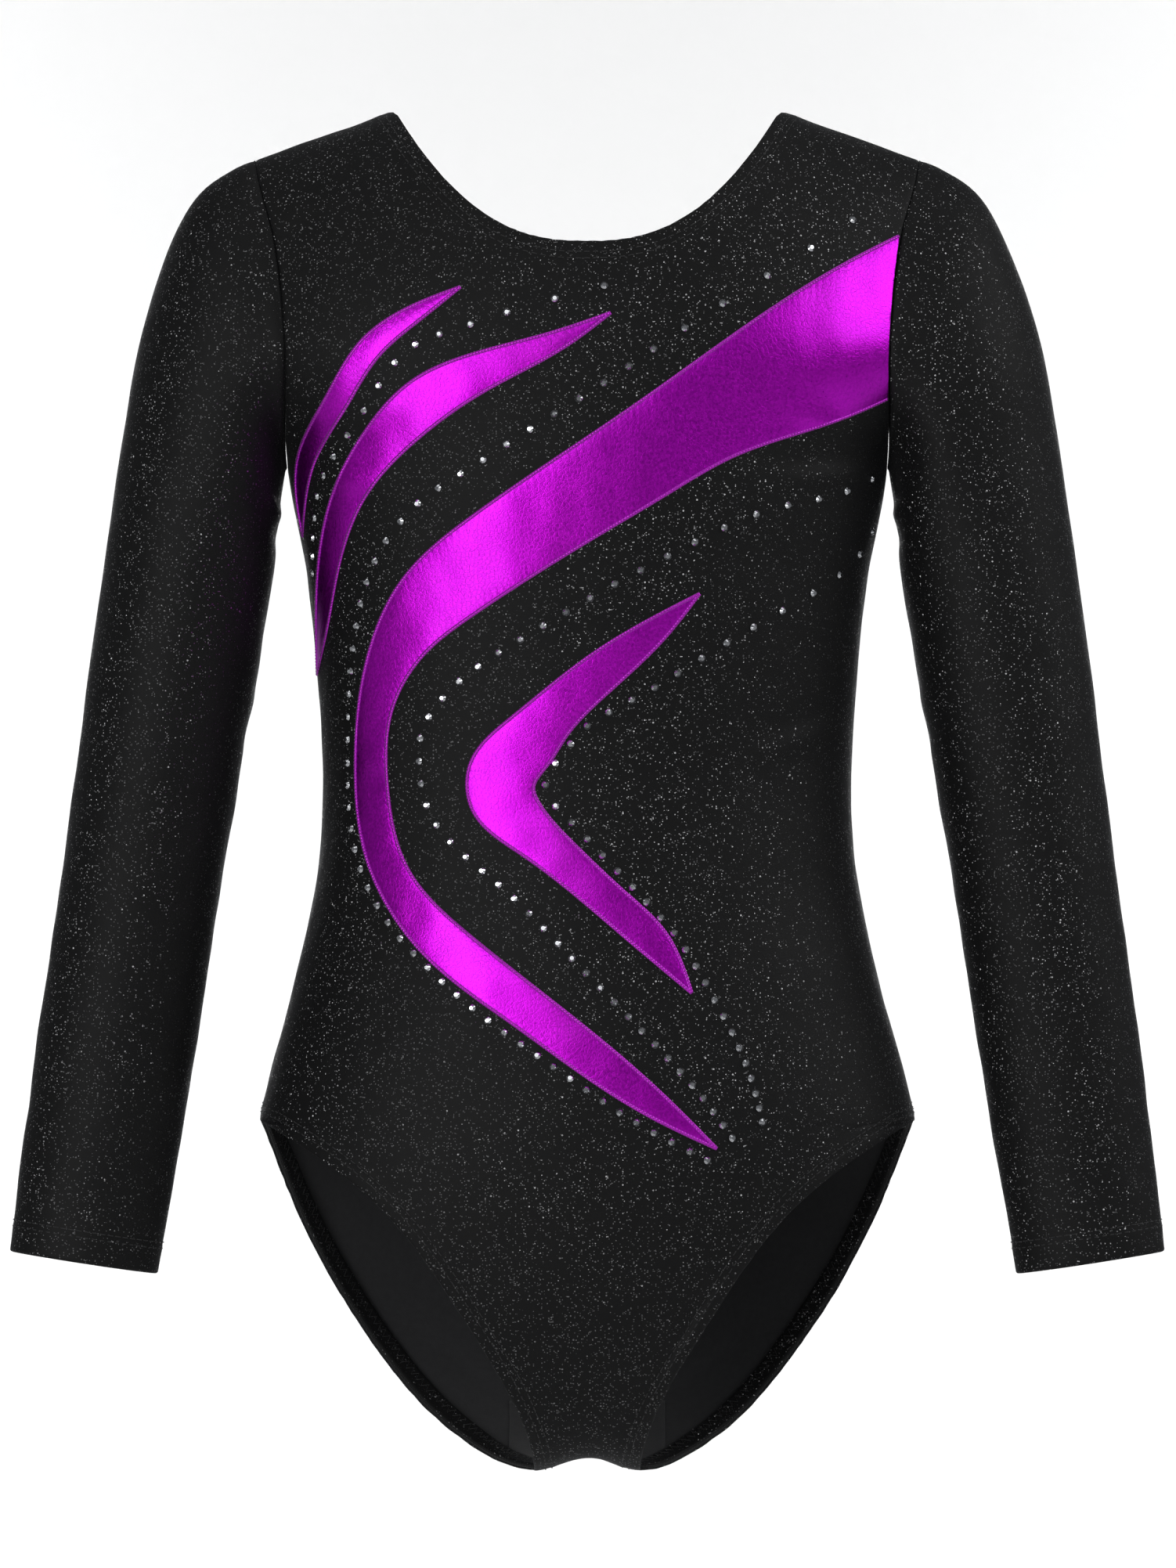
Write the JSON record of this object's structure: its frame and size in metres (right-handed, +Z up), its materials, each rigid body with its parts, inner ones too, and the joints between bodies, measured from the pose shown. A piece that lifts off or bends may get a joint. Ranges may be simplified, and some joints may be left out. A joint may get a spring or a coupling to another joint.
{
  "type": "gymnastics leotard",
  "caption": "Child's long-sleeved gymnastics leotard in black glitter stretch cloth with foil swooshes and rhinestone rows; both sleeves swing up from the shoulders.",
  "frame": {"origin": "half way between the two points where the shoulder seams meet the neckline", "axes": "+Z up, -Y out of the front, +X towards the wearer's left"},
  "size_m": [0.446, 0.1548, 0.5258],
  "materials": {
    "glitter_cloth": "black stretch cloth with fine silver glitter, soft sheen",
    "foil_cloth": "purple metallic foil on stretch cloth",
    "rhinestone": "clear faceted glass with silver foil back",
    "elastic": "black woven elastic",
    "lining": "black knitted lining",
    "seam_thread": "black overlock and cover stitch",
    "purple_thread": "purple embroidery thread, slight sheen",
    "label": "plain white satin ribbon, blank"
  },
  "bodies": {
    "torso": {"front_panel": "glitter_cloth", "back_panel": "glitter_cloth", "neckline_elastic": "elastic", "left_leg_elastic": "elastic", "right_leg_elastic": "elastic", "left_shoulder_seam": "seam_thread", "right_shoulder_seam": "seam_thread", "left_side_seam": "seam_thread", "right_side_seam": "seam_thread", "left_armhole_seam": "seam_thread", "right_armhole_seam": "seam_thread", "gusset_lining": "lining", "crotch_seam": "seam_thread", "upper_swoosh": "foil_cloth", "middle_swoosh": "foil_cloth", "main_band": "foil_cloth", "chevron": "foil_cloth", "stones_upper_row": "rhinestone", "stones_outer_row": "rhinestone", "stones_inner_row": "rhinestone", "stones_chevron_row": "rhinestone", "size_label": "label", "left_sleeve_head": "glitter_cloth", "right_sleeve_head": "glitter_cloth"},
    "left_sleeve": {"left_sleeve": "glitter_cloth", "left_cuff_hem": "glitter_cloth", "left_sleeve_seam": "seam_thread"},
    "right_sleeve": {"right_sleeve": "glitter_cloth", "right_cuff_hem": "glitter_cloth", "right_sleeve_seam": "seam_thread"}
  },
  "joints": [
    {"name": "left_sleeve_raise", "type": "hinge", "parent": "torso", "child": "left_sleeve", "pos_m": [0.14, 0, -0.075], "axis": [0, -1, 0], "range_deg": [0, 75], "deforming": ["left_sleeve_head"]},
    {"name": "right_sleeve_raise", "type": "hinge", "parent": "torso", "child": "right_sleeve", "pos_m": [-0.14, 0, -0.075], "axis": [0, 1, 0], "range_deg": [0, 75], "deforming": ["right_sleeve_head"]}
  ]
}
